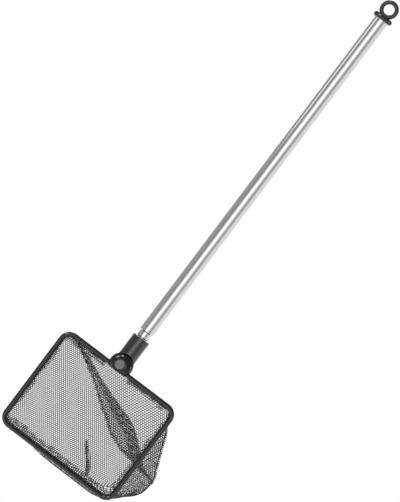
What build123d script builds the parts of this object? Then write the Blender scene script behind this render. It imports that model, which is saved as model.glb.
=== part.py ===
from build123d import *
import os

os.makedirs("parts", exist_ok=True)

# An aquarium net on a telescopic pole. The origin is the centre of the hanging ring, +Z runs up the
# pole, the frame lies in the XZ plane and its mouth faces -Y. All sizes are in millimetres.

# Hanging cap
ring_bore_radius = 3.2
ring_bar = 2.4
ring_width = 2.2
ring_bore_round = 0.5
ring_outer_round = 0.95
ring_sink = 0.95
web_width = 5.0
flange_radius = 6.15
flange_thickness = 2.9
flange_round = 1.35
plug_length = 12.0
plug_chamfer = 0.6

# Telescopic pole: three steel sections, each one sliding and turning in the one outside it
outer_diameter = 8.8
outer_length = 224.7
outer_wall = 0.4
mid_wall = 0.35
inner_wall = 0.35
section_gap = 0.35
lip_length = 1.2
lip_slope = 0.5
slide_clearance = 0.05
mid_reveal = 3.9
plug_gap = 1.4
inner_top_gap = 1.0

# Brass half shells round the necked upper end of each inner section
shim_length = 10.0
shim_end_play = 0.1
shim_slot = 1.0
neck_step = 0.2
neck_slope = 0.6
collar_length = 1.5

# Socket on the lower end of the pole
socket_wall = 2.55
socket_fit = 0.03
socket_gap = 0.3
socket_bore_depth = 11.0
socket_floor = 0.85
socket_edge_round = 0.4

# Knuckle that lets the head swing: front boss on the frame, back lug on the socket
knuckle_radius = 7.25
knuckle_depth = 6.4
knuckle_half_gap = 0.2
knuckle_rim = 0.25
swing_clearance = 0.3
lug_radius = 4.6
lug_depth = 4.2
lug_round = 0.8
rivet_radius = 1.5
rivet_head_radius = 2.8
rivet_head_thickness = 0.8
rivet_head_proud = 0.2
rivet_tail_radius = 2.3
rivet_tail_thickness = 1.0
rivet_tail_round = 0.6
pivot_clearance = 0.05
washer_radius = 3.2
washer_thickness = 0.5
friction_washer_radius = 4.0
washer_play = 0.03
spot_face_room = 0.4

# Frame: steel wire in a hem, in a slit plastic sleeve
frame_width = 81.8
frame_height = 66.9
frame_corner_radius = 5.7
bar_diameter = 2.7
bar_drop = 2.6
bar_back_gap = 0.1
knuckle_offset = 2.4
wire_diameter = 1.4
wire_insert = 4.0
hem_thickness = 0.25
hem_fit = 0.03
hem_tab = 0.4
hem_reach = 0.12
slit_clearance = 0.05
sleeve_fit = 0.05

# Netting bag: a pouch that sags to the right and down behind the frame
bag_depth = 41.0
net_thickness = 0.9
rim_gap = 0.08
rim_lead = 0.4
rim_back = 0.2
rim_draw_in = 1.45
rim_corner_radius = 4.1
lug_to_net = 0.88
mesh_columns = 12
mesh_bar = 1.9
mesh_margin = 1.2

# Heights along the pole, from the ring downwards
ring_outer_radius = ring_bore_radius + ring_bar
flange_top = ring_sink - ring_outer_radius
outer_top = flange_top - flange_thickness
outer_bottom = outer_top - outer_length
mid_bottom = outer_bottom - mid_reveal
mid_top = outer_top - plug_length - plug_gap
neck_length = shim_length + 2 * shim_end_play
mid_neck_bottom = mid_top - collar_length - neck_length
socket_mouth = mid_bottom - socket_gap
inner_top = mid_neck_bottom - neck_slope - inner_top_gap
inner_bottom = socket_mouth - socket_bore_depth
socket_to_pivot = socket_bore_depth + socket_floor + knuckle_radius + swing_clearance
pivot_height = socket_mouth - socket_to_pivot

# Radii of the nested sections, from the outside in
outer_radius = outer_diameter / 2
outer_bore = outer_radius - outer_wall
mid_radius = outer_bore - section_gap
mid_bore = mid_radius - mid_wall
inner_radius = mid_bore - section_gap
socket_radius = inner_radius + socket_wall


def lipped_end(radius, wall, bottom, passing_radius):
    """Outline points of a tube's lower end, rolled in over the section that passes through it."""
    bore = radius - wall
    lip = passing_radius + slide_clearance
    return [
        (bore, bottom + lip_length + lip_slope),
        (lip, bottom + lip_length),
        (lip, bottom),
        (radius - lip_slope, bottom),
        (radius, bottom + lip_slope),
    ]


def necked_end(radius, wall, top):
    """Outline points of a section's upper end: a neck that carries the shims, under a collar."""
    neck = radius - neck_step
    collar_bottom = top - collar_length
    neck_bottom = collar_bottom - neck_length
    return [
        (radius, neck_bottom - neck_slope),
        (neck, neck_bottom),
        (neck, collar_bottom),
        (radius, collar_bottom),
        (radius, top),
        (radius - wall, top),
        (radius - wall, collar_bottom + neck_slope),
        (neck - wall, collar_bottom),
        (neck - wall, neck_bottom),
        (radius - wall, neck_bottom - neck_slope),
    ]


# Hanging cap: ring, web and flange in one moulding, with a plug that is pressed into the tube
with BuildPart() as hang_cap:
    with BuildSketch(Plane.XZ):
        Circle(ring_outer_radius)
        Circle(ring_bore_radius, mode=Mode.SUBTRACT)
    extrude(amount=ring_width / 2, both=True)
    ring_rims = hang_cap.edges().filter_by(GeomType.CIRCLE).sort_by(SortBy.RADIUS)
    fillet(ring_rims[:2], radius=ring_bore_round)
    fillet(ring_rims[2:], radius=ring_outer_round)
    with BuildSketch(Plane.XZ) as flange:
        with Locations((flange_radius / 2, flange_top - flange_thickness / 2)):
            Rectangle(flange_radius, flange_thickness)
        fillet(flange.vertices().sort_by(Axis.X)[-2:], radius=flange_round)
    revolve(axis=Axis.Z)
    with BuildSketch(Plane.XY.offset(flange_top)):
        Rectangle(web_width, ring_width)
    extrude(amount=ring_bar / 2)
    with BuildSketch(Plane.XY.offset(outer_top)):
        Circle(outer_bore)
    extrude(amount=-plug_length)
    chamfer(hang_cap.edges().sort_by(Axis.Z)[0], length=plug_chamfer)
hang_cap.part.label = "hang_cap"
export_step(hang_cap.part, "parts/hang_cap.step")

# Outer tube, from the cap's flange down to its rolled lip
with BuildPart() as outer_tube:
    with BuildSketch(Plane.XZ):
        with BuildLine():
            Polyline(
                *lipped_end(outer_radius, outer_wall, outer_bottom, mid_radius),
                (outer_radius, outer_top),
                (outer_bore, outer_top),
                close=True,
            )
        make_face()
    revolve(axis=Axis.Z)
outer_tube.part.label = "outer_tube"
export_step(outer_tube.part, "parts/outer_tube.step")

# Mid tube, with shims on its neck and a lip round the inner tube
with BuildPart() as mid_tube:
    with BuildSketch(Plane.XZ):
        with BuildLine():
            Polyline(
                *lipped_end(mid_radius, mid_wall, mid_bottom, inner_radius),
                *necked_end(mid_radius, mid_wall, mid_top),
                close=True,
            )
        make_face()
    revolve(axis=Axis.Z)
mid_tube.part.label = "mid_tube"
export_step(mid_tube.part, "parts/mid_tube.step")

# Inner tube, from its shims down into the socket
with BuildPart() as inner_tube:
    with BuildSketch(Plane.XZ):
        with BuildLine():
            Polyline(
                (inner_radius - inner_wall, inner_bottom),
                (inner_radius, inner_bottom),
                *necked_end(inner_radius, inner_wall, inner_top),
                close=True,
            )
        make_face()
    revolve(axis=Axis.Z)
inner_tube.part.label = "inner_tube"
export_step(inner_tube.part, "parts/inner_tube.step")

# Shims: two brass half shells round each neck, running in the bore of the section outside it
shim_seats = {
    "mid": (mid_top, mid_radius, outer_bore),
    "inner": (inner_top, inner_radius, mid_bore),
}
for section, (section_top, section_radius, bore) in shim_seats.items():
    shim_outer = bore - slide_clearance
    shim_inner = section_radius - neck_step + slide_clearance
    shim_top = section_top - collar_length - shim_end_play
    for side, direction in (("left", -1), ("right", 1)):
        with BuildPart() as shim:
            with BuildSketch(Plane.XY.offset(shim_top)):
                Circle(shim_outer)
                Circle(shim_inner, mode=Mode.SUBTRACT)
                with Locations((-direction * shim_outer, 0)):
                    Rectangle(2 * shim_outer + shim_slot, 3 * shim_outer, mode=Mode.SUBTRACT)
            extrude(amount=-shim_length)
        shim.part.label = f"{section}_shim_{side}"
        export_step(shim.part, f"parts/{section}_shim_{side}.step")

# Socket: a blind cup for the inner tube, cut away at the front for the boss, with the back lug below it
lug_front = knuckle_half_gap
lug_back = lug_front + lug_depth
with BuildPart() as socket:
    with BuildSketch(Plane.XY.offset(socket_mouth)):
        Circle(socket_radius)
    extrude(amount=-socket_to_pivot)
    fillet(socket.edges().sort_by(Axis.Z)[-1], radius=socket_edge_round)
    with BuildSketch(Plane.XZ.offset(-lug_front)):
        with Locations((0, pivot_height)):
            Circle(knuckle_radius + swing_clearance)
    extrude(amount=2 * socket_radius, mode=Mode.SUBTRACT)
    with BuildSketch(Plane.XZ.offset(-lug_front)):
        with Locations((0, pivot_height)):
            Circle(lug_radius)
    extrude(amount=-lug_depth)
    lug_end = socket.edges().filter_by(GeomType.CIRCLE).sort_by(Axis.Z)[0:2].sort_by(Axis.Y)[-1]
    fillet(lug_end, radius=lug_round)
    with BuildSketch(Plane.XZ.offset(-lug_back)):
        with Locations((0, pivot_height)):
            Circle(washer_radius + spot_face_room)
    extrude(amount=-socket_radius, mode=Mode.SUBTRACT)
    with BuildSketch(Plane.XZ.offset(-lug_front)):
        with Locations((0, pivot_height)):
            Circle(rivet_radius + pivot_clearance)
    extrude(amount=-2 * socket_radius, mode=Mode.SUBTRACT)
    with BuildSketch(Plane.XY.offset(socket_mouth)):
        Circle(inner_radius + socket_fit)
    extrude(amount=-socket_bore_depth, mode=Mode.SUBTRACT)
socket.part.label = "socket"
export_step(socket.part, "parts/socket.step")

# The frame's bars lie just in front of the lug, with the top bar under the pivot
bar_radius = bar_diameter / 2
bar_y = -(knuckle_half_gap + bar_back_gap + bar_radius)
bar_top = pivot_height - bar_drop
bar_bottom = bar_top - frame_height + bar_diameter
bar_left = knuckle_offset - (frame_width - bar_diameter) / 2
bar_right = knuckle_offset + (frame_width - bar_diameter) / 2
wire_radius = wire_diameter / 2

# Frame knuckle: a domed round boss, cut flush with the bar's inner edge
boss_front = knuckle_half_gap + knuckle_depth
with BuildPart() as frame_knuckle:
    with BuildSketch(Plane.XZ.offset(knuckle_half_gap)):
        with Locations((0, pivot_height)):
            Circle(knuckle_radius)
    extrude(amount=knuckle_depth)
    front_rim = frame_knuckle.edges().sort_by(Axis.Y)[0]
    fillet(front_rim, radius=knuckle_radius - rivet_head_radius - knuckle_rim)
    with BuildSketch(Plane.XZ.offset(boss_front)):
        with Locations((0, pivot_height)):
            Circle(rivet_head_radius)
    extrude(amount=-(rivet_head_thickness - rivet_head_proud), mode=Mode.SUBTRACT)
    with BuildSketch(Plane.XZ.offset(boss_front)):
        with Locations((0, pivot_height)):
            Circle(rivet_radius)
    extrude(amount=-knuckle_depth, mode=Mode.SUBTRACT)
    with BuildSketch(Plane.XY.offset(bar_top - bar_radius)):
        Rectangle(2 * knuckle_radius, 2 * (boss_front + knuckle_radius))
    extrude(amount=-knuckle_radius, mode=Mode.SUBTRACT)
    with BuildSketch(Plane.YZ.offset(wire_insert)):
        with Locations((bar_y, bar_top)):
            Circle(wire_radius + hem_fit)
    extrude(amount=knuckle_radius, mode=Mode.SUBTRACT)
    with BuildSketch(Plane.YZ.offset(-wire_insert)):
        with Locations((bar_y, bar_top)):
            Circle(wire_radius + hem_fit)
    extrude(amount=-knuckle_radius, mode=Mode.SUBTRACT)
frame_knuckle.part.label = "frame_knuckle"
export_step(frame_knuckle.part, "parts/frame_knuckle.step")

# Pivot rivet: flat head in the boss, shank through the lug, rounded tail over its washer
tail_front = lug_back + 2 * washer_play + washer_thickness
with BuildPart() as pivot_rivet:
    with BuildSketch(Plane.XZ.offset(boss_front + rivet_head_proud)):
        with Locations((0, pivot_height)):
            Circle(rivet_head_radius)
    extrude(amount=-rivet_head_thickness)
    with BuildSketch(Plane.XZ.offset(boss_front)):
        with Locations((0, pivot_height)):
            Circle(rivet_radius)
    extrude(amount=-(boss_front + tail_front))
    with BuildSketch(Plane.XZ.offset(-tail_front)):
        with Locations((0, pivot_height)):
            Circle(rivet_tail_radius)
    extrude(amount=-rivet_tail_thickness)
    fillet(pivot_rivet.edges().sort_by(Axis.Y)[-1], radius=rivet_tail_round)
pivot_rivet.part.label = "pivot_rivet"
export_step(pivot_rivet.part, "parts/pivot_rivet.step")

# Friction washer between the boss and the lug
with BuildPart() as friction_washer:
    with BuildSketch(Plane.XZ.offset(knuckle_half_gap - washer_play)):
        with Locations((0, pivot_height)):
            Circle(friction_washer_radius)
            Circle(rivet_radius + pivot_clearance, mode=Mode.SUBTRACT)
    extrude(amount=-2 * (knuckle_half_gap - washer_play))
    with BuildSketch(Plane.XY.offset(bar_top - bar_radius)):
        Rectangle(2 * friction_washer_radius, 2 * friction_washer_radius)
    extrude(amount=-friction_washer_radius, mode=Mode.SUBTRACT)
friction_washer.part.label = "friction_washer"
export_step(friction_washer.part, "parts/friction_washer.step")

# Rivet washer, between the lug's back and the rivet's tail
with BuildPart() as rivet_washer:
    with BuildSketch(Plane.XZ.offset(-(lug_back + washer_play))):
        with Locations((0, pivot_height)):
            Circle(washer_radius)
            Circle(rivet_radius + pivot_clearance, mode=Mode.SUBTRACT)
    extrude(amount=-washer_thickness)
rivet_washer.part.label = "rivet_washer"
export_step(rivet_washer.part, "parts/rivet_washer.step")


def frame_loop(tip):
    """Centreline of the frame's bars, open at the knuckle, with its two ends tip away from the pivot."""
    with BuildLine() as loop:
        FilletPolyline(
            (-tip, bar_y, bar_top),
            (bar_left, bar_y, bar_top),
            (bar_left, bar_y, bar_bottom),
            (bar_right, bar_y, bar_bottom),
            (bar_right, bar_y, bar_top),
            (tip, bar_y, bar_top),
            radius=frame_corner_radius,
        )
    return loop.line


def bar_section(tip):
    """Plane across the loop's start, whose x direction points into the mouth of the net."""
    return Plane(origin=(-tip, bar_y, bar_top), x_dir=(0, 0, -1), z_dir=(-1, 0, 0))


# Frame wire, with its two ends in the boss
with BuildPart() as frame_wire:
    with BuildSketch(bar_section(wire_insert)):
        Circle(wire_radius)
    sweep(path=frame_loop(wire_insert))
frame_wire.part.label = "frame_wire"
export_step(frame_wire.part, "parts/frame_wire.step")

# Hem of the netting: a tube of cloth round the wire, with a tab through the sleeve's slit
hem_inner = wire_radius + hem_fit
hem_outer = hem_inner + hem_thickness
tab_end = bar_radius + hem_reach
with BuildPart() as net_hem:
    with BuildSketch(bar_section(wire_insert)):
        Circle(hem_outer)
        with Locations((tab_end / 2, 0)):
            Rectangle(tab_end, hem_tab)
        Circle(hem_inner, mode=Mode.SUBTRACT)
    sweep(path=frame_loop(wire_insert))
    with BuildSketch(Plane.XZ):
        with Locations((0, pivot_height)):
            Circle(knuckle_radius + sleeve_fit)
    extrude(amount=boss_front, both=True, mode=Mode.SUBTRACT)
net_hem.part.label = "net_hem"
export_step(net_hem.part, "parts/net_hem.step")

# Frame sleeve: plastic tube over the hem, slit along its inner side and stopped at the boss
with BuildPart() as frame_sleeve:
    with BuildSketch(bar_section(wire_insert)):
        Circle(bar_radius)
        Circle(hem_outer + hem_fit, mode=Mode.SUBTRACT)
        with Locations((bar_radius, 0)):
            Rectangle(bar_diameter, hem_tab + 2 * slit_clearance, mode=Mode.SUBTRACT)
    sweep(path=frame_loop(wire_insert))
    with BuildSketch(Plane.XZ):
        with Locations((0, pivot_height)):
            Circle(knuckle_radius + sleeve_fit)
    extrude(amount=boss_front, both=True, mode=Mode.SUBTRACT)
frame_sleeve.part.label = "frame_sleeve"
export_step(frame_sleeve.part, "parts/frame_sleeve.step")

# The bag's outline at rising depths behind the bars. Each row is: depth as a share of the bag's depth,
# how far in the left wall and the top wall have come as shares of the rim's width and height, how far
# the right and bottom walls bulge past the rim, and the corner radii as shares of the outline's
# smaller side, from the top left corner round to the bottom left one.
bag_rows = [
    (0.195, 0.200, 0.136, 2.75, 3.5, (0.14, 0.07, 0.25, 0.18)),
    (0.44, 0.436, 0.296, 4.85, 4.2, (0.17, 0.08, 0.38, 0.21)),
    (0.68, 0.673, 0.456, 7.05, 2.3, (0.19, 0.12, 0.57, 0.25)),
    (0.88, 0.853, 0.595, 8.75, -2.7, (0.18, 0.18, 0.70, 0.22)),
    (1.0, 0.961, 0.670, 6.75, -8.7, (0.28, 0.28, 0.45, 0.28)),
]
rim_inset = tab_end + rim_gap
rim_left = bar_left + rim_inset
rim_right = bar_right - rim_inset
rim_top = bar_top - rim_inset
rim_bottom = bar_bottom + rim_inset
rim_front = bar_y - rim_lead


def bag_outline(y, left, right, top, bottom, radii):
    """Closed outline with four rounded corners, standing at depth y."""
    top_left, top_right, low_right, low_left = radii
    with BuildSketch(Plane(origin=(0, y, 0), x_dir=(1, 0, 0), z_dir=(0, -1, 0))) as outline:
        with BuildLine():
            Line((left + top_left, top), (right - top_right, top))
            RadiusArc((right - top_right, top), (right, top - top_right), top_right)
            Line((right, top - top_right), (right, bottom + low_right))
            RadiusArc((right, bottom + low_right), (right - low_right, bottom), low_right)
            Line((right - low_right, bottom), (left + low_left, bottom))
            RadiusArc((left + low_left, bottom), (left, bottom + low_left), low_left)
            Line((left, bottom + low_left), (left, top - top_left))
            RadiusArc((left, top - top_left), (left + top_left, top), top_left)
        make_face()
    return outline.sketch


def bag_outlines(inset, end_inset):
    """Outlines of the pouch from the rim to its end, drawn in by inset on every side."""
    corners = (rim_corner_radius - inset,) * 4
    left = rim_left + inset
    right = rim_right - inset
    bottom = rim_bottom + inset
    collar_top = pivot_height - lug_radius - lug_to_net
    outlines = [
        bag_outline(rim_front - end_inset, left, right, rim_top - inset, bottom, corners),
        bag_outline(lug_front + rim_back, left + rim_draw_in, right, collar_top - inset, bottom, corners),
    ]
    for depth, left_in, top_in, right_out, bottom_out, corners in bag_rows:
        left = rim_left + left_in * (rim_right - rim_left) + inset
        top = rim_top - top_in * (rim_top - rim_bottom) - inset
        right = rim_right + right_out - inset
        bottom = rim_bottom - bottom_out + inset
        side = min(right - left, top - bottom)
        y = min(depth * bag_depth, bag_depth - end_inset)
        outlines.append(bag_outline(y, left, right, top, bottom, [share * side for share in corners]))
    return outlines


# The seam between the two panels runs from the rim's top right and bottom left corners to the pouch's
# right corner, so the panels meet in the plane through those three points.
seam_depth, _, seam_top_in, seam_right_out, _, _ = bag_rows[-2]
seam_start = Vector(rim_right, rim_front, rim_top)
seam_far = Vector(rim_left, rim_front, rim_bottom)
seam_end = Vector(
    rim_right + seam_right_out,
    seam_depth * bag_depth,
    rim_top - seam_top_in * (rim_top - rim_bottom),
)
seam_plane = Plane(origin=seam_start, z_dir=(seam_far - seam_start).cross(seam_end - seam_start))

# Openings of the upper panel's mesh: a plain grid over the mouth, as far as it stays clear of the rim
# at the left and top, of the seam at the right and of the round bottom of the left wall.
mesh_pitch = (rim_right - rim_left) / mesh_columns
mesh_rows = int((rim_top - rim_bottom) / mesh_pitch)
mesh_opening = mesh_pitch - mesh_bar
mesh_end = rim_left + bag_rows[-1][1] * (rim_right - rim_left)
mesh_floor = rim_bottom + mesh_opening + mesh_bar


def clear_of_edges(x, z):
    """Whether an opening centred at x, z has its margin of cloth on every side."""
    reach = mesh_opening / 2 + mesh_margin
    seam_share = (rim_top - z - reach) / (rim_top - seam_end.Z)
    seam_x = rim_right + seam_share * (seam_end.X - rim_right)
    right_limit = seam_x if z - reach > seam_end.Z else mesh_end
    return (
        x - reach > rim_left + rim_draw_in
        and x + reach < right_limit
        and z + reach < pivot_height - lug_radius - lug_to_net
        and z - reach > mesh_floor
    )


mesh_places = [
    (rim_left + (column + 0.5) * mesh_pitch, rim_top - (row + 0.5) * mesh_pitch)
    for column in range(mesh_columns)
    for row in range(mesh_rows)
]
mesh_places = [place for place in mesh_places if clear_of_edges(*place)]

# Net panels: a thin pouch, open at the mouth, parted along the seam
for panel, kept, openings in (
    ("net_lower_panel", Keep.TOP, []),
    ("net_upper_panel", Keep.BOTTOM, mesh_places),
):
    with BuildPart() as net_panel:
        loft(bag_outlines(0, 0))
        loft(bag_outlines(net_thickness, net_thickness), mode=Mode.SUBTRACT)
        split(bisect_by=seam_plane, keep=kept)
        if openings:
            with BuildSketch(Plane.XZ.offset(-rim_front)):
                with Locations(*openings):
                    Rectangle(mesh_opening, mesh_opening)
            extrude(amount=-2 * bag_depth, mode=Mode.SUBTRACT)
    net_panel.part.label = panel
    export_step(net_panel.part, f"parts/{panel}.step")
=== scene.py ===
import math

import bmesh
import bpy
import numpy as np
from mathutils import Matrix, Vector
from mathutils.bvhtree import BVHTree


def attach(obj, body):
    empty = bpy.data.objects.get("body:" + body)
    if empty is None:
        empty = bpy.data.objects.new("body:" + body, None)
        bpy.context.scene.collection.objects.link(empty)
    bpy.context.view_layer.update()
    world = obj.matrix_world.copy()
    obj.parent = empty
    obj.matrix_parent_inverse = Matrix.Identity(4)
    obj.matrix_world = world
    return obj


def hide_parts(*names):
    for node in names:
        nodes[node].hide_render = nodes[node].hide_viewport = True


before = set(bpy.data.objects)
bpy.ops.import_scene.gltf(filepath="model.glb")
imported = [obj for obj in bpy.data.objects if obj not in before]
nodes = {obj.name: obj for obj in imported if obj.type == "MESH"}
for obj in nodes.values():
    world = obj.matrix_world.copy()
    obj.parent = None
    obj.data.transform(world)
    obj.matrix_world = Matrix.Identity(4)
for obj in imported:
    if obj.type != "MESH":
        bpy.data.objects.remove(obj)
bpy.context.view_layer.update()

# Camera: a long lens level with the net and a little to its right, rolled so that the pole leans to
# the right as in the photograph. The hanging ring's centre fixes the framing.
view_azimuth = math.radians(9.0)
pole_lean = math.radians(37.0)
metres_per_pixel = 0.0005749
picture_size = (400, 502)
ring_pixel = (389.2, 9.9)
camera_distance = 3.0

towards_camera = Vector((math.sin(view_azimuth), -math.cos(view_azimuth), 0.0))
level_right = Vector((math.cos(view_azimuth), math.sin(view_azimuth), 0.0))
level_up = towards_camera.cross(level_right)
picture_right = level_right * math.cos(pole_lean) + level_up * math.sin(pole_lean)
picture_up = level_up * math.cos(pole_lean) - level_right * math.sin(pole_lean)
aim = (
    -picture_right * (ring_pixel[0] - picture_size[0] / 2) * metres_per_pixel
    - picture_up * (picture_size[1] / 2 - ring_pixel[1]) * metres_per_pixel
)
lens = bpy.data.cameras.new("long_lens")
lens.lens = lens.sensor_width * camera_distance / (picture_size[1] * metres_per_pixel)
lens.clip_end = 50.0
camera = bpy.data.objects.new("camera", lens)
bpy.context.scene.collection.objects.link(camera)
camera.matrix_world = Matrix.Translation(aim + towards_camera * camera_distance) @ Matrix(
    (picture_right, picture_up, towards_camera)
).transposed().to_4x4()
bpy.context.scene.camera = camera
bpy.context.scene.view_settings.view_transform = "Standard"


# Studio: a white room, with dark flags standing round it that only bright metal and gloss show, two
# soft boxes above at the left, a third at the right, a dim panel beside the pole's upper half, and a
# pale floor under the drawn-out net.
def add_node(tree, kind, inputs=None, **settings):
    """New shader node with its sockets set, each to a value or to a link from another socket."""
    made = tree.nodes.new(kind)
    for key, value in settings.items():
        setattr(made, key, value)
    for key, value in (inputs or {}).items():
        if isinstance(value, bpy.types.NodeSocket):
            tree.links.new(value, made.inputs[key])
        else:
            made.inputs[key].default_value = value
    return made


room = bpy.data.worlds.new("studio")
bpy.context.scene.world = room
room.use_nodes = True
room_tree = room.node_tree
room_tree.nodes.clear()
# Brightness of the room at each compass bearing, in degrees from the front towards the right
flag_bands = (
    (-180, 1.0), (-150, 0.9), (-132, 0.50), (-118, 0.33), (-92, 0.34), (-78, 0.42), (-64, 0.32), (-36, 0.28),
    (-23, 0.50), (-13, 1.0), (-2, 1.4), (14, 1.3), (27, 0.85), (37, 0.50), (46, 0.38), (60, 0.40),
    (74, 0.62), (90, 0.88), (112, 0.80), (135, 0.80), (155, 0.92), (180, 1.0),
)
flag_blue = 1.01
# Heights, as shares of a full look upwards, over which the bands end and the floor's glow fades
band_height = (0.08, 0.22)
glow_height = (-0.4, 0.3)
glow_level = (0.5, 0.18)
room_level = 0.7
white = (1.0, 1.0, 1.0, 1.0)
look = add_node(room_tree, "ShaderNodeTexCoord")
look_parts = add_node(room_tree, "ShaderNodeSeparateXYZ", {"Vector": look.outputs["Generated"]})
to_front = add_node(room_tree, "ShaderNodeMath", {0: look_parts.outputs["Y"], 1: -1.0}, operation="MULTIPLY")
bearing = add_node(
    room_tree, "ShaderNodeMath", {0: look_parts.outputs["X"], 1: to_front.outputs[0]}, operation="ARCTAN2"
)
bearing_share = add_node(
    room_tree, "ShaderNodeMapRange", {"Value": bearing.outputs[0], "From Min": -math.pi, "From Max": math.pi}
)
flags = add_node(room_tree, "ShaderNodeValToRGB", {"Fac": bearing_share.outputs["Result"]})
for place, (degrees, level) in enumerate(flag_bands):
    share = (degrees + 180) / 360
    if 0 < place < len(flag_bands) - 1:
        stop = flags.color_ramp.elements.new(share)
    else:
        stop = flags.color_ramp.elements[0 if place == 0 else -1]
        stop.position = share
    stop.color = (level, level, level * flag_blue, 1.0)
ray = add_node(room_tree, "ShaderNodeLightPath")
soft_light = add_node(room_tree, "ShaderNodeBackground", {"Color": white, "Strength": room_level})
white_room = add_node(room_tree, "ShaderNodeBackground", {"Color": white, "Strength": 1.0})
flagged_room = add_node(room_tree, "ShaderNodeBackground", {"Color": flags.outputs["Color"], "Strength": 1.0})
# Below the bands the dark room is lit a little by the pale floor
floor_glow = add_node(
    room_tree,
    "ShaderNodeMapRange",
    {
        "Value": look_parts.outputs["Z"],
        "From Min": glow_height[0],
        "From Max": glow_height[1],
        "To Min": glow_level[0],
        "To Max": glow_level[1],
    },
)
dark_room = add_node(
    room_tree, "ShaderNodeBackground", {"Color": white, "Strength": floor_glow.outputs["Result"]}
)
height = add_node(room_tree, "ShaderNodeMath", {0: look_parts.outputs["Z"]}, operation="ABSOLUTE")
past_bands = add_node(
    room_tree,
    "ShaderNodeMapRange",
    {"Value": height.outputs[0], "From Min": band_height[0], "From Max": band_height[1]},
)
banded_room = add_node(
    room_tree,
    "ShaderNodeMixShader",
    {0: past_bands.outputs["Result"], 1: flagged_room.outputs[0], 2: dark_room.outputs[0]},
)
in_gloss = add_node(
    room_tree,
    "ShaderNodeMixShader",
    {0: ray.outputs["Is Glossy Ray"], 1: soft_light.outputs[0], 2: banded_room.outputs[0]},
)
through_glass = add_node(
    room_tree,
    "ShaderNodeMixShader",
    {0: ray.outputs["Is Transmission Ray"], 1: in_gloss.outputs[0], 2: white_room.outputs[0]},
)
seen = add_node(
    room_tree,
    "ShaderNodeMixShader",
    {0: ray.outputs["Is Camera Ray"], 1: through_glass.outputs[0], 2: white_room.outputs[0]},
)
add_node(room_tree, "ShaderNodeOutputWorld", {"Surface": seen.outputs[0]})

lit_point = Vector((0.0, 0.0, -0.25))
for name, direction, distance, width, length, watts in (
    ("soft_box_left", (-0.70, -0.59, 0.41), 1.3, 0.32, 0.32, 5.0),
    ("soft_box_top", (-0.45, -0.41, 0.79), 1.3, 0.26, 0.26, 4.0),
    ("soft_box_right", (0.92, 0.15, 0.35), 3.0, 0.60, 0.60, 11.0),
    ("side_panel", (-0.666, -0.230, 0.37), 0.79, 0.22, 0.42, 0.24),
):
    lamp = bpy.data.lights.new(name, "AREA")
    lamp.shape = "RECTANGLE"
    lamp.size = width
    lamp.size_y = length
    lamp.energy = watts
    holder = bpy.data.objects.new(name, lamp)
    bpy.context.scene.collection.objects.link(holder)
    holder.location = lit_point + Vector(direction).normalized() * distance
    holder.rotation_euler = (lit_point - holder.location).to_track_quat("-Z", "Y").to_euler()

floor_height = -0.76
floor_half = 2.2
floor_tone = 0.93
floor_white_share = 0.5
floor_mesh = bpy.data.meshes.new("floor")
floor_mesh.from_pydata(
    [(x * floor_half, y * floor_half, floor_height) for x, y in ((-1, -1), (1, -1), (1, 1), (-1, 1))],
    [],
    [(0, 1, 2, 3)],
)
floor = bpy.data.objects.new("floor", floor_mesh)
bpy.context.scene.collection.objects.link(floor)
floor_paint = bpy.data.materials.new("floor_paint")
floor_paint.use_nodes = True
floor_tree = floor_paint.node_tree
floor_tree.nodes.clear()
floor_ray = add_node(floor_tree, "ShaderNodeLightPath")
floor_matt = add_node(
    floor_tree, "ShaderNodeBsdfDiffuse", {"Color": (floor_tone, floor_tone, floor_tone, 1.0)}
)
floor_white = add_node(floor_tree, "ShaderNodeEmission", {"Strength": 1.0})
floor_pale = add_node(
    floor_tree,
    "ShaderNodeMixShader",
    {0: floor_white_share, 1: floor_matt.outputs[0], 2: floor_white.outputs[0]},
)
floor_seen = add_node(
    floor_tree,
    "ShaderNodeMixShader",
    {0: floor_ray.outputs["Is Camera Ray"], 1: floor_matt.outputs[0], 2: floor_pale.outputs[0]},
)
add_node(floor_tree, "ShaderNodeOutputMaterial", {"Surface": floor_seen.outputs[0]})
floor_mesh.materials.append(floor_paint)


# Hanging cap: one black moulding with a ring to hang the net by and a plug pressed into the tube.
# Moulded in a hard plastic with a fine even grain, a little shinier where hands rub it.
clouds_per_metre = 260.0
cloud_colours = (0.3, 0.75)
cloud_gloss = (0.3, 0.7)
plain_tint = (0.85, 0.87, 0.92)
rubbed_tint = (1.25, 1.27, 1.32)
rubbed_spread = 0.06
grain_strength = 0.5
skin_roughness = 0.06


def two_tone(tree, value, places, colours):
    """Colour that runs between two tones, each at its own place on the value."""
    made = add_node(tree, "ShaderNodeValToRGB", {"Fac": value})
    for stop, place, colour in zip(made.color_ramp.elements, places, colours):
        stop.position = place
        stop.color = (*colour, 1.0)
    return made


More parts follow.
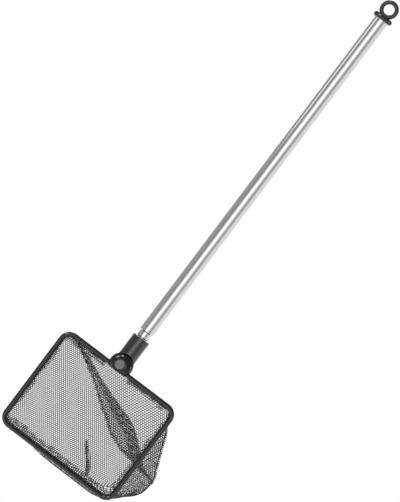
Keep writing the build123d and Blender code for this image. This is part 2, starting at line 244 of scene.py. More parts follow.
def moulded_black(name, tone, gloss, shine, grain_size, grain_depth, skin=0.0):
    """Black moulding: fine grain in the surface, cloudy gloss and faint rubbed patches.
    skin is the share of the smooth bright skin that a polished mould leaves."""
    material = bpy.data.materials.new(name)
    material.use_nodes = True
    tree = material.node_tree
    surface = tree.nodes["Principled BSDF"]
    surface.inputs["Specular IOR Level"].default_value = shine
    surface.inputs["Coat Weight"].default_value = skin
    surface.inputs["Coat Roughness"].default_value = skin_roughness
    place = add_node(tree, "ShaderNodeTexCoord")
    grain = add_node(
        tree,
        "ShaderNodeTexNoise",
        {"Vector": place.outputs["Object"], "Scale": 1.0 / grain_size, "Detail": 3.0},
    )
    cloud = add_node(
        tree,
        "ShaderNodeTexNoise",
        {"Vector": place.outputs["Object"], "Scale": clouds_per_metre, "Detail": 4.0},
    )
    plain_colour = [tone * part for part in plain_tint]
    rubbed_colour = [tone * part for part in rubbed_tint]
    colour = two_tone(tree, cloud.outputs["Fac"], cloud_colours, (plain_colour, rubbed_colour))
    tree.links.new(colour.outputs["Color"], surface.inputs["Base Color"])
    rubbed = add_node(
        tree,
        "ShaderNodeMapRange",
        {
            "Value": cloud.outputs["Fac"],
            "From Min": cloud_gloss[0],
            "From Max": cloud_gloss[1],
            "To Min": gloss + rubbed_spread,
            "To Max": gloss - rubbed_spread,
        },
    )
    tree.links.new(rubbed.outputs["Result"], surface.inputs["Roughness"])
    bump = add_node(
        tree,
        "ShaderNodeBump",
        {"Height": grain.outputs["Fac"], "Strength": grain_strength, "Distance": grain_depth},
    )
    tree.links.new(bump.outputs["Normal"], surface.inputs["Normal"])
    return material


def give_material(node, material):
    """The carried-over CAD piece shows this material all over."""
    nodes[node].data.materials.clear()
    nodes[node].data.materials.append(material)


cap_black = moulded_black(
    "cap_black", tone=0.011, gloss=0.2, shine=0.7, grain_size=0.0004, grain_depth=0.000006
)
give_material("hang_cap", cap_black)


# Telescopic tubes: drawn stainless tube, polished bright, three sections one inside the next.
# Drawing and polishing leave fine lines along the length and a faint haze.
lines_per_metre = (2600.0, 2600.0, 14.0)
haze_per_metre = 90.0
haze_range = (0.3, 0.7)
haze_tint = (0.97, 0.97, 0.98)
line_range = (0.3, 0.7)
line_spread = (-0.03, 0.04)
line_strength = 0.04
line_height = 0.00001


def drawn_steel(name, tone, gloss):
    """Polished drawn tube: long fine lines in gloss and height, a trace of haze in the colour."""
    material = bpy.data.materials.new(name)
    material.use_nodes = True
    tree = material.node_tree
    surface = tree.nodes["Principled BSDF"]
    surface.inputs["Metallic"].default_value = 1.0
    place = add_node(tree, "ShaderNodeTexCoord")
    stretched = add_node(
        tree, "ShaderNodeMapping", {"Vector": place.outputs["Object"], "Scale": lines_per_metre}
    )
    lines = add_node(
        tree, "ShaderNodeTexNoise", {"Vector": stretched.outputs["Vector"], "Scale": 1.0, "Detail": 3.0}
    )
    haze = add_node(
        tree,
        "ShaderNodeTexNoise",
        {"Vector": place.outputs["Object"], "Scale": haze_per_metre, "Detail": 4.0},
    )
    hazy = [tone * part for part in haze_tint]
    colour = two_tone(tree, haze.outputs["Fac"], haze_range, (hazy, (tone, tone, tone)))
    tree.links.new(colour.outputs["Color"], surface.inputs["Base Color"])
    polish = add_node(
        tree,
        "ShaderNodeMapRange",
        {
            "Value": lines.outputs["Fac"],
            "From Min": line_range[0],
            "From Max": line_range[1],
            "To Min": gloss + line_spread[0],
            "To Max": gloss + line_spread[1],
        },
    )
    tree.links.new(polish.outputs["Result"], surface.inputs["Roughness"])
    bump = add_node(
        tree,
        "ShaderNodeBump",
        {"Height": lines.outputs["Fac"], "Strength": line_strength, "Distance": line_height},
    )
    tree.links.new(bump.outputs["Normal"], surface.inputs["Normal"])
    return material


tube_steel = drawn_steel("tube_steel", tone=0.82, gloss=0.08)
for section in ("outer_tube", "mid_tube", "inner_tube"):
    give_material(section, tube_steel)


# Shims: thin brass half shells round the upper ends of the inner sections, inside the pole. They
# are pressed from strip and give the drag that holds the pole at any length.
shim_brass = drawn_steel("shim_brass", tone=0.55, gloss=0.3)
brass_ramp = next(n for n in shim_brass.node_tree.nodes if n.type == "VALTORGB").color_ramp
brass_ramp.elements[0].color = (0.60, 0.42, 0.17, 1.0)
brass_ramp.elements[1].color = (0.70, 0.51, 0.23, 1.0)
for shim in ("mid_shim_left", "mid_shim_right", "inner_shim_left", "inner_shim_right"):
    give_material(shim, shim_brass)


# Socket and knuckle: two black mouldings with a smooth satin finish. The socket is pressed on the
# pole's last section, and the round boss is moulded on the frame's top bar.
socket_black = moulded_black(
    "socket_black", tone=0.008, gloss=0.11, shine=1.0, grain_size=0.0006, grain_depth=0.000004, skin=0.4
)
give_material("socket", socket_black)
knuckle_black = moulded_black(
    "knuckle_black", tone=0.009, gloss=0.16, shine=0.35, grain_size=0.0006, grain_depth=0.000005, skin=0.25
)
give_material("frame_knuckle", knuckle_black)

# Rivet: a steel rivet through the knuckle, its flat head showing at the front, dulled and grey, with
# a plain washer under its upset tail and a nylon one between the two halves of the knuckle.
rivet_steel = drawn_steel("rivet_steel", tone=0.23, gloss=0.42)
give_material("pivot_rivet", rivet_steel)
give_material("rivet_washer", drawn_steel("washer_steel", tone=0.45, gloss=0.35))
washer_nylon = moulded_black(
    "washer_nylon", tone=0.55, gloss=0.45, shine=0.5, grain_size=0.0005, grain_depth=0.00001
)
give_material("friction_washer", washer_nylon)

# Frame: steel wire bent to a rectangle with round corners, its ends held in the knuckle, inside a
# black plastic sleeve that is drawn on and has a soft gloss.
give_material("frame_wire", drawn_steel("wire_steel", tone=0.6, gloss=0.3))
sleeve_black = moulded_black(
    "sleeve_black", tone=0.010, gloss=0.15, shine=0.7, grain_size=0.0005, grain_depth=0.000006
)
give_material("frame_sleeve", sleeve_black)

# Upper panel: black knotless netting over the left and top walls and the far end of the bag, hung from
# the wire inside the sleeve. Its columns hang plumb as the net is held, and the spare cloth lies in a
# three-ply fold from the top left corner to the far end.
mm = 0.001
pivot_height = -255.85
# Depth, left, right, bottom and top of the bag, then the radii of its corners from the top left one
# clockwise; millimetres from the pivot
bag_rows = np.array((
    (-2.05, -35.60, 40.40, -65.25, -4.15, 4.1, 4.1, 4.1, 4.1),
    (0.4, -34.15, 40.40, -65.25, -5.48, 4.1, 4.1, 4.1, 4.1),
    (8.0, -20.40, 43.15, -69.1, -12.46, 7.9, 3.9, 14.3, 10.1),
    (18.0, -2.46, 45.45, -70.0, -22.24, 8.0, 3.8, 19.0, 9.9),
    (27.9, 15.55, 47.95, -67.0, -32.01, 6.1, 3.8, 19.5, 8.0),
    (36.1, 29.23, 50.1, -62.0, -40.50, 3.6, 3.6, 15.0, 4.4),
    (40.6, 36.76, 48.2, -56.8, -44.70, 2.8, 2.8, 6.0, 2.8),
))
bag_front = bag_rows[0, 0]
bag_end = bag_rows[-1, 0]
bag_ring_count = 80
behind_bag = 80.0
row_slope_limit = 2.5


def bag_shape(y):
    """Left, right, bottom, top and corner radii at each depth, as smooth curves through the rows."""
    depth = bag_rows[:, 0]
    y = np.clip(np.asarray(y, float), depth[0], depth[-1])
    below = np.clip(np.searchsorted(depth, y, side="right") - 1, 0, len(depth) - 2)
    step = depth[below + 1] - depth[below]
    share = (y - depth[below]) / step
    found = []
    for column in range(1, bag_rows.shape[1]):
        value = bag_rows[:, column]
        chord = np.diff(value) / np.diff(depth)
        slope = np.concatenate((chord[:1], (chord[1:] + chord[:-1]) / 2, chord[-1:]))
        least = np.minimum(np.abs(chord[1:]), np.abs(chord[:-1]))
        limited = np.sign(slope[1:-1]) * np.minimum(np.abs(slope[1:-1]), row_slope_limit * least)
        slope[1:-1] = np.where(chord[1:] * chord[:-1] > 0, limited, 0.0)
        found.append(
            (2 * share**3 - 3 * share**2 + 1) * value[below]
            + (share**3 - 2 * share**2 + share) * step * slope[below]
            + (3 * share**2 - 2 * share**3) * value[below + 1]
            + (share**3 - share**2) * step * slope[below + 1]
        )
    return found


def bag_ring(y, per_side=14, per_corner=8):
    """Points round the bag at one depth, from the left wall clockwise as seen from the front."""
    left, right, bottom, top, r_tl, r_tr, r_br, r_bl = (float(v) for v in bag_shape(y))
    arcs = []
    for centre_x, centre_z, radius, start in (
        (left + r_tl, top - r_tl, r_tl, 180),
        (right - r_tr, top - r_tr, r_tr, 90),
        (right - r_br, bottom + r_br, r_br, 0),
        (left + r_bl, bottom + r_bl, r_bl, -90),
    ):
        turns = [math.radians(start - 90 * i / per_corner) for i in range(per_corner + 1)]
        arcs.append([(centre_x + radius * math.cos(t), centre_z + radius * math.sin(t)) for t in turns])
    points = []
    for corner in range(4):
        points += arcs[corner]
        (x0, z0), (x1, z1) = arcs[corner][-1], arcs[(corner + 1) % 4][0]
        shares = [i / per_side for i in range(1, per_side)]
        points += [(x0 + (x1 - x0) * share, z0 + (z1 - z0) * share) for share in shares]
    return [(x, y, z) for x, z in points]


# Soft waves of the spare netting: height, waves along the frame, waves up it and start
slack_waves = ((0.7, 0.17, 0.11, 0.0), (0.35, -0.23, 0.31, 1.0))
slack_left = -35.6
slack_top = -4.2
slack_fade = 12.0


def slack(x, z):
    """How far the netting sags back from the plain bag, in soft waves that die out at the rim."""
    edge = np.clip(np.minimum(x - slack_left, slack_top - z) / slack_fade, 0.0, 1.0)
    return edge * sum(high * np.sin(along * x + up * z + start) for high, along, up, start in slack_waves)


bag_rings = [bag_ring(y) for y in np.linspace(bag_front, bag_end, bag_ring_count)]
ring_size = len(bag_rings[0])
bag_faces = [
    (
        r * ring_size + i,
        r * ring_size + (i + 1) % ring_size,
        (r + 1) * ring_size + (i + 1) % ring_size,
        (r + 1) * ring_size + i,
    )
    for r in range(len(bag_rings) - 1)
    for i in range(ring_size)
]
bag_faces.append(tuple((len(bag_rings) - 1) * ring_size + i for i in range(ring_size)))
bag_tree = BVHTree.FromPolygons([point for ring in bag_rings for point in ring], bag_faces)


def far_wall(x, z):
    """Points and normals of the bag's far wall behind places in the mouth, and whether there is one."""
    found = np.zeros((len(x), 3))
    facing = np.zeros((len(x), 3))
    there = np.zeros(len(x), bool)
    for i in range(len(x)):
        hit, normal, _, _ = bag_tree.ray_cast(Vector((x[i], behind_bag, z[i])), Vector((0.0, -1.0, 0.0)))
        if hit is not None:
            found[i] = hit
            facing[i] = normal if normal.y < 0 else -normal
            there[i] = True
    found[:, 1] += slack(x, z)
    return found, facing, there


def inside(polygon, x, z):
    """Whether each place is inside a closed outline."""
    result = np.zeros(len(x), bool)
    for (x0, z0), (x1, z1) in zip(polygon, polygon[1:] + polygon[:1]):
        crosses = (z0 > z) != (z1 > z)
        if z0 != z1:
            result ^= crosses & (x < (x1 - x0) * (z - z0) / (z1 - z0) + x0)
    return result


strand_hole = 0.67
strand_half = 0.16


def knit(reach, column, row, kept, lay, hole_share=strand_hole):
    """A patch of six-sided netting: points and faces of its strands, as one closed skin.
    reach is how far the columns and rows go, kept says which cells stay, lay puts points on the bag."""
    columns = np.arange(math.floor(reach[0] / column), math.ceil(reach[1] / column) + 1)
    rows = np.arange(math.floor(reach[2] / row), math.ceil(reach[3] / row) + 1)
    across, up = (grid.ravel() for grid in np.meshgrid(columns, rows))
    cell = np.stack((3 * across, 2 * up + across % 2), 1)
    cell = cell[kept(cell[:, 0] * column / 3, cell[:, 1] * row / 2)]
    corner_steps = np.array(((2, 0), (1, 1), (-1, 1), (-2, 0), (-1, -1), (1, -1)))
    every_corner = (cell[:, None, :] + corner_steps).reshape(-1, 2)
    own, corner = np.unique(every_corner, axis=0, return_inverse=True)
    corner = corner.reshape(-1, 6)
    point, facing, there = lay(own[:, 0] * column / 3, own[:, 1] * row / 2)
    corner = corner[there[corner].all(1)]
    used, corner = np.unique(corner, return_inverse=True)
    corner = corner.reshape(-1, 6)
    point, facing = point[used], facing[used]
    middle = point[corner].mean(1, keepdims=True)
    hole = (middle + hole_share * (point[corner] - middle)).reshape(-1, 3)
    count, cells = len(point), len(corner)
    points = np.concatenate((point + facing * strand_half, point - facing * strand_half, hole))
    following = np.roll(corner, -1, 1)
    hole_index = 2 * count + np.arange(cells * 6).reshape(-1, 6)
    hole_following = np.roll(hole_index, -1, 1)
    front = np.stack((corner, following, hole_following, hole_index), -1).reshape(-1, 4)
    back = np.stack((following + count, corner + count, hole_index, hole_following), -1).reshape(-1, 4)
    edges = np.stack((corner, following), -1).reshape(-1, 2)
    _, first, times = np.unique(np.sort(edges, 1), axis=0, return_index=True, return_counts=True)
    lone = edges[first[times == 1]]
    closing = np.stack((lone[:, 1], lone[:, 0], lone[:, 0] + count, lone[:, 1] + count), -1)
    return points, np.concatenate((front, back, closing))


def netting_piece(name, patches, replaced):
    """One object from patches of netting: black, riding on the head in place of a CAD panel."""
    points, faces, start = [], [], 0
    for patch_points, patch_faces in patches:
        points.append(patch_points)
        faces.append(patch_faces + start)
        start += len(patch_points)
    points = np.concatenate(points)
    points[:, 2] += pivot_height
    mesh = bpy.data.meshes.new(name)
    mesh.from_pydata((points * mm).tolist(), [], np.concatenate(faces).tolist())
    work = bmesh.new()
    work.from_mesh(mesh)
    bmesh.ops.recalc_face_normals(work, faces=work.faces)
    work.to_mesh(mesh)
    work.free()
    mesh.polygons.foreach_set("use_smooth", np.ones(len(mesh.polygons), bool))
    mesh.materials.append(net_black)
    piece = bpy.data.objects.new(name, mesh)
    bpy.context.scene.collection.objects.link(piece)
    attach(piece, "net_head")
    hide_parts(replaced)
    return piece


fibres_per_metre = 5200.0
fibre_range = (0.35, 0.7)
fibre_colours = ((0.014, 0.014, 0.015), (0.032, 0.032, 0.034))
fibre_strength = 0.4
fibre_height = 0.00005
net_black = bpy.data.materials.new("net_black")
net_black.use_nodes = True
net_tree = net_black.node_tree
net_surface = net_tree.nodes["Principled BSDF"]
net_surface.inputs["Roughness"].default_value = 0.6
net_surface.inputs["Sheen Weight"].default_value = 0.05
net_place = add_node(net_tree, "ShaderNodeTexCoord")
net_fibre = add_node(
    net_tree,
    "ShaderNodeTexNoise",
    {"Vector": net_place.outputs["Object"], "Scale": fibres_per_metre, "Detail": 2.0},
)
net_colour = two_tone(net_tree, net_fibre.outputs["Fac"], fibre_range, fibre_colours)
net_tree.links.new(net_colour.outputs["Color"], net_surface.inputs["Base Color"])
net_bump = add_node(
    net_tree,
    "ShaderNodeBump",
    {"Height": net_fibre.outputs["Fac"], "Strength": fibre_strength, "Distance": fibre_height},
)
net_tree.links.new(net_bump.outputs["Normal"], net_surface.inputs["Normal"])

# How the netting lies in the mouth: lean of its columns from the pole, column pitch and row pitch
left_weave = (math.radians(35.0), 1.123, 1.12)
top_weave = (math.radians(31.1), 1.28, 1.42)
fold_low_weave = (math.radians(60), 0.50, 0.90)
fold_high_weave = (math.radians(54), 0.58, 1.00)
tuck_low_weave = (math.radians(38), 0.55, 1.05)
tuck_high_weave = (math.radians(34), 0.50, 0.95)
whole_reach = (-70, 70, -90, 30)
rim_x = -35.5
rim_z = -4.25
seam_turn = math.radians(55)
seam_lap = 0.8
fold_lap = 0.8
fold_root = np.array((
    (-36.5, -1.0), (-29.2, -3.7), (-25.2, -6.4), (-16.7, -12.0), (-7.7, -17.8), (0.7, -25.0), (8.0, -30.1),
    (14.7, -35.6), (22.1, -38.9), (30.7, -40.7), (36.5, -42.0), (42.2, -43.0), (47.0, -43.8), (52.0, -44.5),
))
fold_edge = np.array((
    (-36.5, -1.0), (-29.2, -3.7), (-25.5, -5.3), (-17.7, -7.8), (-6.7, -13.0), (4.7, -17.3), (13.7, -20.4),
    (20.4, -22.3), (25.7, -25.8), (29.8, -29.3), (33.6, -33.1), (37.2, -37.0), (42.2, -41.4), (47.0, -43.6),
    (52.0, -44.5),
))
upper_outline = [
    (-37.0, -80.0), (-37.0, -3.0), (40.4, -3.0), (40.2, -8.0), (43.2, -15.5), (45.5, -26.0), (47.6, -35.5),
    (49.3, -40.5), (49.6, -44.0), (48.7, -49.5), (47.3, -54.0), (43.3, -57.3), (38.0, -58.0), (36.8, -80.0),
]
wall_depths = np.linspace(bag_front, bag_end, 200)
wall_left = bag_shape(wall_depths)[0]


def in_mouth(across, up, lean):
    """Places in the mouth, right and up along the frame, from the netting's own columns and rows."""
    cos, sin = math.cos(lean), math.sin(lean)
    return across * cos - up * sin, across * sin + up * cos


def under_turn(x):
    """Where the left wall begins to turn under, and the radius of that turn."""
    _, _, bottom, _, _, _, _, r_bl = bag_shape(np.interp(x, wall_left, wall_depths))
    return bottom + r_bl, r_bl


def on_left_wall(across, up):
    x, z = in_mouth(across, up, left_weave[0])
    line, radius = under_turn(x)
    above_seam = z > line - radius * seam_turn - seam_lap
    under_fold = z < np.interp(x, fold_root[:, 0], fold_root[:, 1]) + fold_lap
    return inside(upper_outline, x, z) & above_seam & under_fold


def lay_on_left(across, up):
    x, z = in_mouth(across, up, left_weave[0])
    x = np.maximum(x, rim_x)
    z = np.minimum(z, rim_z)
    line, radius = under_turn(x)
    turn = np.maximum(line - z, 0.0) / radius
    point, facing, there = far_wall(x, np.maximum(z, line))
    point[:, 0] += radius * (1 - np.cos(turn))
    point[:, 2] -= radius * np.sin(turn)
    facing = facing * np.cos(turn)[:, None] + np.array((0.0, 0.0, 1.0)) * np.sin(turn)[:, None]
    return point, facing, there


def on_top_wall(across, up):
    x, z = in_mouth(across, up, top_weave[0])
    return inside(upper_outline, x, z) & (z > np.interp(x, fold_root[:, 0], fold_root[:, 1]) - fold_lap)


def lay_on_top(across, up):
    x, z = in_mouth(across, up, top_weave[0])
    return far_wall(np.maximum(x, rim_x), np.minimum(z, rim_z))


def fold_share(x, z):
    """Place across the fold, 0 at its root and 1 at its free edge, and the fold's width there."""
    small = 0.05
    root = np.interp(x, fold_root[:, 0], fold_root[:, 1])
    width = np.interp(x, fold_edge[:, 0], fold_edge[:, 1]) - root
    return (z - root) / np.maximum(width, small), width


# Where the fold stops being gathered and starts again, the share that a gathered ply runs under its
# root, its least width, how far it lies off the wall, the width at which its crown is full, and the
# least share of that crown
fold_gather = (-18.0, -8.0, 24.0, 32.0)
fold_tuck_under = 0.05
fold_least_width = 0.3
fold_clear = 0.5
fold_full_width = 8.0
fold_least_crown = 0.2


def fold_ply(weave, lift, first_share, hole_share):
    """One ply of the fold from a share of its width to its free edge, lying in front of the wall.
    The ply covers the whole width near the fold's two ends, where the cloth is gathered."""
    lean, column, row = weave

    def kept(across, up):
        x, z = in_mouth(across, up, lean)
        share, width = fold_share(x, z)
        gathered = np.interp(x, fold_gather, (1.0, 0.0, 0.0, 1.0))
        first = first_share * (1 - gathered) - fold_tuck_under * gathered
        in_fold = (width > fold_least_width) & (share > first) & (share < 1.0)
        return in_fold & inside(upper_outline, x, z)

    def lay(across, up):
        x, z = in_mouth(across, up, lean)
        point, facing, there = far_wall(x, z)
        share, width = fold_share(x, z)
        share = np.clip(share, 0.0, 1.0)
        crown = np.sin(share * math.pi) * np.clip(width / fold_full_width, fold_least_crown, 1.0)
        point[:, 1] -= fold_clear * (1 + share) + lift * crown
        return point, facing, there

    return knit(whole_reach, column, row, kept, lay, hole_share)


# A small tuck in the left wall near the bottom bar, straight on its left side
tuck_start = np.array((6.4, -47.5))
tuck_end = np.array((18.3, -64.0))
tuck_width = 1.8
tuck_least_width = 0.6
tuck_overlap = 0.5
tuck_fullness = 1.6


def tuck_ply(weave, lift, share):
    """One ply of the tuck over a share of its width, widest past its middle."""
    lean, column, row = weave
    length = np.linalg.norm(tuck_end - tuck_start)
    along = (tuck_end - tuck_start) / length

    def kept(across, up):
        x, z = in_mouth(across, up, lean)
        forward = ((x - tuck_start[0]) * along[0] + (z - tuck_start[1]) * along[1]) / length
        aside = (z - tuck_start[1]) * along[0] - (x - tuck_start[0]) * along[1]
        swell = np.sin(np.clip(forward, 0.0, 1.0) ** tuck_fullness * math.pi)
        width = tuck_least_width + share * tuck_width * swell
        return (forward > 0.0) & (forward < 1.0) & (aside > -tuck_overlap) & (aside < width)

    def lay(across, up):
        x, z = in_mouth(across, up, lean)
        point, facing, there = far_wall(x, z)
        point[:, 1] -= lift
        return point, facing, there

    return knit(whole_reach, column, row, kept, lay)


netting_piece(
    "net_upper",
    [
        knit(whole_reach, left_weave[1], left_weave[2], on_left_wall, lay_on_left),
        knit(whole_reach, top_weave[1], top_weave[2], on_top_wall, lay_on_top),
        fold_ply(fold_low_weave, lift=0.5, first_share=-0.05, hole_share=0.69),
        fold_ply(fold_high_weave, lift=1.9, first_share=0.52, hole_share=0.82),
        tuck_ply(tuck_low_weave, lift=0.5, share=1.0),
        tuck_ply(tuck_high_weave, lift=1.0, share=0.2),
    ],
    "net_upper_panel",
)


# Lower panel: the same netting over the right and bottom walls, which belly out past the frame. Its
# columns run from the rim to the far end, and it is sewn to the upper panel along both edges.
lower_pitch = (1.25, 2.1)
lower_reach = (-130, 110, -1, 46)
lower_hole = 0.75


def lower_wall(along, y):
    """Point of the lower panel: distance along the wall from the middle of its round corner, and depth."""
    left, right, bottom, top, _, r_tr, r_br, r_bl = bag_shape(y)
    half_arc = r_br * math.pi / 4
    right_run = np.maximum((top - r_tr) - (bottom + r_br), 0.0)
    bottom_run = np.maximum((right - r_br) - (left + r_bl), 0.0)
    back = np.maximum(-along, 0.0)
    ahead = np.maximum(along, 0.0)
    turn = np.clip(along, -half_arc, half_arc) / r_br - math.pi / 4
    x = right - r_br + r_br * np.cos(turn)
    z = bottom + r_br + r_br * np.sin(turn)
    z = z + np.clip(ahead - half_arc, 0.0, right_run)
    x = x - np.clip(back - half_arc, 0.0, bottom_run)
    top_turn = np.clip((ahead - half_arc - right_run) / r_tr, 0.0, math.pi / 4)
    x = x - r_tr * (1 - np.cos(top_turn))
    z = z + r_tr * np.sin(top_turn)
    left_turn = np.clip((back - half_arc - bottom_run) / r_bl, 0.0, math.pi / 2 - seam_turn)
    x = x - r_bl * np.sin(left_turn)
    z = z + r_bl * (1 - np.cos(left_turn))
    first = -(half_arc + bottom_run + r_bl * (math.pi / 2 - seam_turn))
    last = half_arc + right_run + r_tr * math.pi / 4
    return np.stack((x, y, z), -1), first, last


def on_lower_wall(along, deep):
    y = bag_front + deep
    _, first, last = lower_wall(along, y)
    return (y > bag_front) & (y < bag_end) & (along > first - seam_lap / 2) & (along < last + seam_lap / 2)


def lay_on_lower(along, deep):
    y = np.clip(bag_front + deep, bag_front, bag_end)
    _, first, last = lower_wall(along, y)
    along = np.clip(along, first, last)
    point, _, _ = lower_wall(along, y)
    small = 0.05
    step_along = lower_wall(along + small, y)[0] - lower_wall(along - small, y)[0]
    step_deep = lower_wall(along, y + small)[0] - lower_wall(along, y - small)[0]
    facing = np.cross(step_along, step_deep)
    size = np.linalg.norm(facing, axis=1, keepdims=True)
    facing = np.where(size > 1e-9, facing / np.maximum(size, 1e-9), np.array((0.0, -1.0, 0.0)))
    return point, facing, np.ones(len(point), bool)


# The seam at the right: both panels' edges stand out together past a row of stitches
seam_width = 1.5
seam_root = 0.3
seam_ends = (0.0, 38.0)
seam_tip = 38.2
seam_taper_from = 30.0
seam_tip_share = 0.6
seam_out = (0.94, 0.34)
seam_ply = 0.12
seam_reach = (-1, 3, -1, 46)
seam_column = 0.75
seam_rows = (1.2, 1.0)
seam_stitches = 60
stitch_radius = 0.22


def seam_line(y):
    """Where the right wall meets the round edge to the top wall."""
    _, right, _, top, _, r_tr, _, _ = bag_shape(y)
    return np.stack((right, y, top - r_tr), -1)


def on_seam(out, deep):
    y = bag_front + deep
    return (out > -seam_root) & (out < seam_width) & (y > seam_ends[0]) & (y < seam_ends[1])


def lay_on_seam(shift):
    """Layer of the seam's allowance, shifted across it."""
    def lay(out, deep):
        y = np.clip(bag_front + deep, seam_ends[0], seam_tip)
        taper = np.interp(y, (seam_taper_from, seam_tip), (1.0, seam_tip_share))
        out = np.clip(out, 0.0, seam_width) * taper
        point = seam_line(y)
        point[:, 0] += seam_out[0] * out - seam_out[1] * shift
        point[:, 2] += seam_out[1] * out + seam_out[0] * shift
        facing = np.tile((-seam_out[1], 0.0, seam_out[0]), (len(y), 1))
        return point, facing, np.ones(len(y), bool)

    return lay


def stitching(path, radius, beside, sides=6):
    """A closed round row of stitches along a path that never runs the way of beside."""
    along = np.gradient(path, axis=0)
    along /= np.linalg.norm(along, axis=1, keepdims=True)
    first = np.cross(along, beside)
    first /= np.linalg.norm(first, axis=1, keepdims=True)
    second = np.cross(along, first)
    turns = np.arange(sides) * 2 * math.pi / sides
    rings = [path + radius * (first * math.cos(t) + second * math.sin(t)) for t in turns]
    points = np.concatenate((np.stack(rings, 1).reshape(-1, 3), path[:1], path[-1:]))
    faces = []
    for i in range(len(path) - 1):
        for k in range(sides):
            after = (k + 1) % sides
            faces.append((i * sides + k, i * sides + after, (i + 1) * sides + after, (i + 1) * sides + k))
    cap_start, cap_end = len(path) * sides, len(path) * sides + 1
    last = (len(path) - 1) * sides
    for k in range(0, sides, 2):
        after, beyond = (k + 1) % sides, (k + 2) % sides
        faces.append((cap_start, beyond, after, k))
        faces.append((cap_end, last + k, last + after, last + beyond))
    return points, np.array(faces)


netting_piece(
    "net_lower",
    [
        knit(lower_reach, lower_pitch[0], lower_pitch[1], on_lower_wall, lay_on_lower, lower_hole),
        knit(seam_reach, seam_column, seam_rows[0], on_seam, lay_on_seam(seam_ply)),
        knit(seam_reach, seam_column, seam_rows[1], on_seam, lay_on_seam(-seam_ply)),
        stitching(seam_line(np.linspace(*seam_ends, seam_stitches)), stitch_radius, beside=(1.0, 0.0, 0.0)),
    ],
    "net_lower_panel",
)

# Hem: the netting's edge, folded once round the wire inside the sleeve, comes out through the slit along
# the sleeve's inner side, is sewn there with black thread and lies a few millimetres over the bag,
# widest along the bottom bar.
bar_left, bar_right, bar_top, bar_bottom = -37.15, 41.95, -2.6, -66.8
bar_depth = -1.65
bar_corner = 5.7
hem_radius = 0.85
slit_edge = 1.35
knuckle_half = 8.2
knuckle_below = 1.0
hem_turn = hem_radius * math.pi
hem_lap = 0.4
hem_step = 0.5
hem_corner_steps = 16
hem_pitch = (1.18, 1.2)
hem_patch = (-6, 8, 0, 300)
# Past the slit each millimetre of the hem comes this much less inwards and goes this much back
flare_in = 0.25
flare_back = 0.6
flare_facing = (0.6, -0.8)
# Uneven edge of the hem: height, waves along it and start
hem_waves = ((0.35, 0.23, 0.0), (0.25, 0.61, 1.0))
# The five straight stretches of the hem: first and last place, and how far it reaches inwards at each
hem_sides = (
    ((0.0, bar_top), (bar_right - bar_corner, bar_top), 2.5, 2.5),
    ((bar_right, bar_top - bar_corner), (bar_right, bar_bottom + bar_corner), 1.9, 3.8),
    ((bar_right - bar_corner, bar_bottom), (bar_left + bar_corner, bar_bottom), 4.4, 5.0),
    ((bar_left, bar_bottom + bar_corner), (bar_left, bar_top - bar_corner), 1.6, 1.6),
    ((bar_left + bar_corner, bar_top), (0.0, bar_top), 4.0, 4.0),
)
hem_path = []
for (x0, z0), (x1, z1), reach0, reach1 in hem_sides:
    steps = max(int(math.hypot(x1 - x0, z1 - z0) / hem_step), 2)
    for i in range(steps + 1):
        share = i / steps
        hem_path.append((x0 + (x1 - x0) * share, z0 + (z1 - z0) * share, reach0 + (reach1 - reach0) * share))
hem_path = np.array(hem_path)
hem_round = []
for i in range(len(hem_path) - 1):
    hem_round.append(hem_path[i])
    (x0, z0, reach0), (x1, z1, reach1) = hem_path[i], hem_path[i + 1]
    # A slanting step between two straight stretches is a corner, and is made round
    if abs(x1 - x0) > hem_step and abs(z1 - z0) > hem_step:
        from_level_bar = x0 not in (bar_left, bar_right)
        centre = (x0, z1) if from_level_bar else (x1, z0)
        for k in range(1, hem_corner_steps):
            share = k / hem_corner_steps
            cos, sin = math.cos(share * math.pi / 2), math.sin(share * math.pi / 2)
            hem_round.append((
                centre[0] + (x0 - centre[0]) * cos + (x1 - centre[0]) * sin,
                centre[1] + (z0 - centre[1]) * cos + (z1 - centre[1]) * sin,
                reach0 + (reach1 - reach0) * share,
            ))
hem_round.append(hem_path[-1])
hem_round = np.array(hem_round)
hem_length = np.concatenate(((0.0,), np.cumsum(np.hypot(*np.diff(hem_round[:, :2], axis=0).T))))


def hem_at(along):
    """Place on the bar's middle line and the hem's even reach, at distances along the hem."""
    return [np.interp(along, hem_length, hem_round[:, i]) for i in range(3)]


def hem_place(along):
    """Place on the bar's middle line, its direction inwards and the hem's reach past the slit there."""
    small = 0.2
    x, z, reach_in = hem_at(along)
    x_before, z_before, _ = hem_at(along - small)
    x_after, z_after, _ = hem_at(along + small)
    dx, dz = x_after - x_before, z_after - z_before
    size = np.hypot(dx, dz)
    uneven = sum(high * np.sin(along * waves + start) for high, waves, start in hem_waves)
    return x, z, dz / size, -dx / size, reach_in + uneven


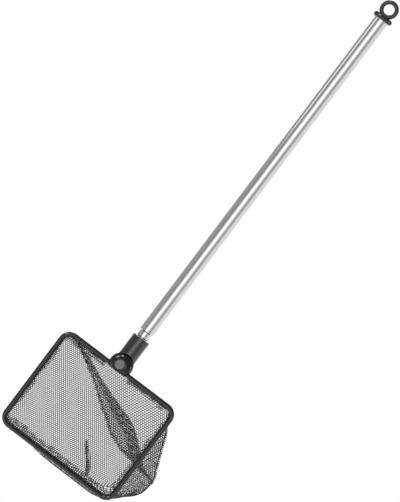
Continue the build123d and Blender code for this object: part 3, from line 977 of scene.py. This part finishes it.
def clear_of_knuckle(x, z):
    """Whether places on the bar's middle line are outside the knuckle."""
    return (np.abs(x) > knuckle_half) | (z < bar_top - knuckle_below)


def on_hem(across, along):
    x, z, _, _, reach_in = hem_place(along)
    inner = hem_turn + slit_edge - hem_radius + reach_in
    on_bar = clear_of_knuckle(x, z) & (along > 0.0) & (along < hem_length[-1])
    return on_bar & (across > -hem_turn - hem_lap) & (across < inner)


def lay_on_hem(across, along):
    x, z, in_x, in_z, _ = hem_place(along)
    turn = np.clip(across / hem_radius, -math.pi, math.pi)
    past = np.maximum(np.abs(across) - hem_turn, 0.0)
    flare = np.maximum(past - (slit_edge - hem_radius), 0.0)
    inward = -hem_radius * np.cos(turn) + past - flare_in * flare
    deep = bar_depth - hem_radius * np.sin(turn) + flare_back * flare
    point = np.stack((x + in_x * inward, deep, z + in_z * inward), -1)
    facing = np.stack((-in_x * np.cos(turn), -np.sin(turn), -in_z * np.cos(turn)), -1)
    flat_facing = np.stack(
        (in_x * flare_facing[0], np.full(len(x), flare_facing[1]), in_z * flare_facing[0]), -1
    )
    return point, np.where((past > 0)[:, None], flat_facing, facing), np.ones(len(x), bool)


# The stitches lie further in where the hem is wider
hem_stitch_radius = 0.3
hem_stitch_length = 0.6
hem_stitch_inset = 1.0
inset_per_reach = 0.16
stitch_steps = np.arange(0.0, hem_length[-1], hem_stitch_length)
stitch_x, stitch_z, stitch_in_x, stitch_in_z, stitch_reach = hem_place(stitch_steps)
stitch_inset = hem_stitch_inset + inset_per_reach * stitch_reach
hem_stitches = np.stack(
    (
        stitch_x + stitch_inset * stitch_in_x,
        np.full(len(stitch_steps), bar_depth),
        stitch_z + stitch_inset * stitch_in_z,
    ),
    -1,
)
past_knuckle = clear_of_knuckle(stitch_x, stitch_z)

netting_piece(
    "net_hem_fold",
    [
        knit(hem_patch, hem_pitch[0], hem_pitch[1], on_hem, lay_on_hem),
        stitching(hem_stitches[past_knuckle], hem_stitch_radius, beside=(0.0, 1.0, 0.0)),
    ],
    "net_hem",
)
